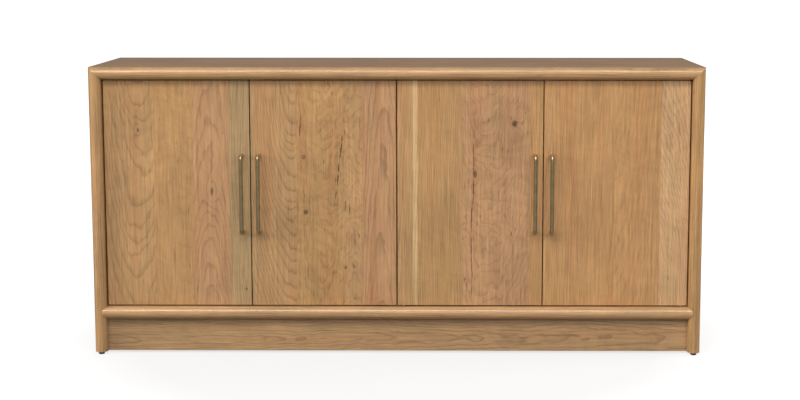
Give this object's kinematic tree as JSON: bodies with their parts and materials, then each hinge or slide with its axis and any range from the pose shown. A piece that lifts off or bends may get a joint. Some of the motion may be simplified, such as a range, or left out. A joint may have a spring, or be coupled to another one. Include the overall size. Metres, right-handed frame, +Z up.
{
  "type": "console cabinet",
  "caption": "Low media console in light cherry with bullnose edges, inset slab doors on pivot hinges, bar pulls, adjustable shelves and a recessed plinth.",
  "frame": {"origin": "on the floor, under the middle of the cabinet's bounding box", "axes": "+X to the right seen from the front, +Y to the back, +Z up; the doors face -Y"},
  "size_m": [1.829, 0.466, 0.87],
  "materials": {
    "case_wood": "satin clear lacquer on solid cherry",
    "door_wood": "satin clear lacquer on edge-glued cherry staves",
    "inner_wood": "thin satin lacquer",
    "back_board": "cherry-faced plywood, thin lacquer",
    "antique_brass": "brushed antique brass",
    "hinge_steel": "plain steel",
    "plated_steel": "nickel plated",
    "zinc_steel": "zinc plated",
    "catch_plastic": "moulded brown plastic",
    "grommet_plastic": "moulded black plastic",
    "glide_plastic": "hard black plastic"
  },
  "bodies": {
    "cabinet": {"top_panel": "case_wood", "left_side_panel": "case_wood", "right_side_panel": "case_wood", "bottom_panel": "case_wood", "centre_partition": "inner_wood", "mitre_splines": "inner_wood", "joint_dowels": "inner_wood", "plinth_board": "case_wood", "rear_plinth_rail": "inner_wood", "plinth_brace": "inner_wood", "plinth_corner_blocks": "inner_wood", "plinth_block_screws": "zinc_steel", "floor_glides": "glide_plastic", "left_shelf": "inner_wood", "right_shelf": "inner_wood", "shelf_pins": "plated_steel", "left_back_panel": "back_board", "right_back_panel": "back_board", "left_cable_grommet": "grommet_plastic", "right_cable_grommet": "grommet_plastic", "back_panel_screws": "zinc_steel", "left_catch": "catch_plastic", "right_catch": "catch_plastic", "catch_magnets": "plated_steel", "catch_screws": "zinc_steel", "upper_pivot_plates": "hinge_steel", "lower_pivot_plates": "hinge_steel", "pivot_plate_screws": "zinc_steel"},
    "left_outer_door": {"left_outer_door": "door_wood", "left_outer_handle": "antique_brass", "left_outer_handle_screws": "zinc_steel", "left_outer_pivot_sockets": "hinge_steel", "left_outer_socket_screws": "zinc_steel", "left_outer_strike": "plated_steel", "left_outer_strike_screw": "zinc_steel"},
    "left_inner_door": {"left_inner_door": "door_wood", "left_inner_handle": "antique_brass", "left_inner_handle_screws": "zinc_steel", "left_inner_pivot_sockets": "hinge_steel", "left_inner_socket_screws": "zinc_steel", "left_inner_strike": "plated_steel", "left_inner_strike_screw": "zinc_steel"},
    "right_inner_door": {"right_inner_door": "door_wood", "right_inner_handle": "antique_brass", "right_inner_handle_screws": "zinc_steel", "right_inner_pivot_sockets": "hinge_steel", "right_inner_socket_screws": "zinc_steel", "right_inner_strike": "plated_steel", "right_inner_strike_screw": "zinc_steel"},
    "right_outer_door": {"right_outer_door": "door_wood", "right_outer_handle": "antique_brass", "right_outer_handle_screws": "zinc_steel", "right_outer_pivot_sockets": "hinge_steel", "right_outer_socket_screws": "zinc_steel", "right_outer_strike": "plated_steel", "right_outer_strike_screw": "zinc_steel"}
  },
  "joints": [
    {"name": "left_outer_door_hinge", "type": "hinge", "parent": "cabinet", "child": "left_outer_door", "pos_m": [-0.8565, -0.189, 0.48925], "axis": [0, 0, -1], "range_deg": [0, 110]},
    {"name": "left_inner_door_hinge", "type": "hinge", "parent": "cabinet", "child": "left_inner_door", "pos_m": [-0.02, -0.189, 0.48925], "axis": [0, 0, 1], "range_deg": [0, 85]},
    {"name": "right_inner_door_hinge", "type": "hinge", "parent": "cabinet", "child": "right_inner_door", "pos_m": [0.02, -0.189, 0.48925], "axis": [0, 0, -1], "range_deg": [0, 85]},
    {"name": "right_outer_door_hinge", "type": "hinge", "parent": "cabinet", "child": "right_outer_door", "pos_m": [0.8565, -0.189, 0.48925], "axis": [0, 0, 1], "range_deg": [0, 110]}
  ]
}
